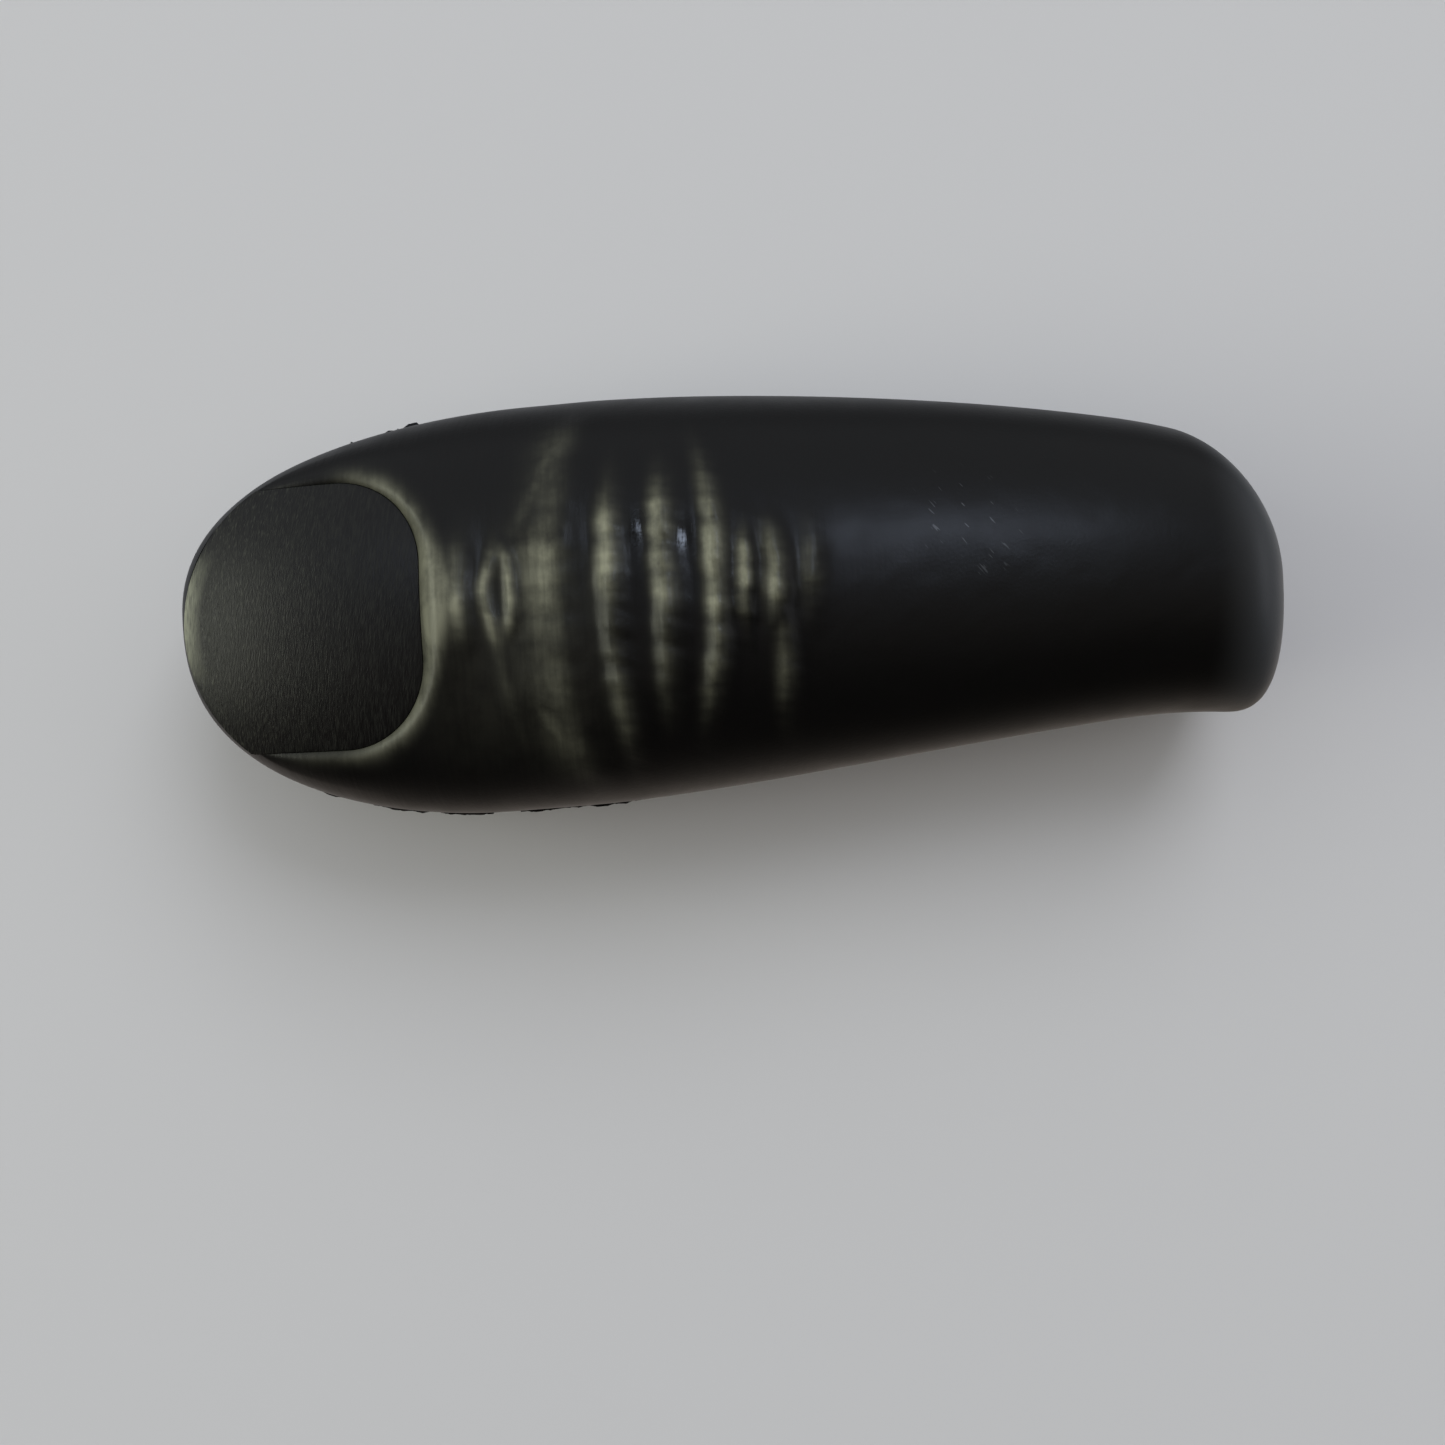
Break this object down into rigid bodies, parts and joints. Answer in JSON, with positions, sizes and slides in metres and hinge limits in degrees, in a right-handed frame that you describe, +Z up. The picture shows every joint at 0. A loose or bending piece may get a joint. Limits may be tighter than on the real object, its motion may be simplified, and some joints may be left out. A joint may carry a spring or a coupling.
{
  "type": "vibration dampener",
  "caption": "Thumb-shaped black rubber racket-string vibration dampener; two moulded halves with soft grips close over the strings on locating pins.",
  "frame": {"origin": "middle of the resting plane, under the centre of the overall box", "axes": "+X from the tip to the rear end, +Z up from the underside to the nail side, strings along Y"},
  "size_m": [0.07, 0.0262, 0.0192],
  "materials": {
    "skin_rubber": "semi-matte moulded rubber",
    "nail_rubber": "satin, finely scratched",
    "grip_rubber": "matte soft rubber",
    "pin_plastic": "moulded plastic"
  },
  "bodies": {
    "palmar_half": {"palmar_skin": "skin_rubber", "palmar_grip": "grip_rubber", "locating_pins": "pin_plastic"},
    "dorsal_half": {"dorsal_skin": "skin_rubber", "nail_plate": "nail_rubber", "dorsal_grip": "grip_rubber"}
  },
  "joints": [
    {"name": "dorsal_lift", "type": "slide", "parent": "palmar_half", "child": "dorsal_half", "axis": [0, 0, 1], "range_m": [0, 0.012]}
  ]
}
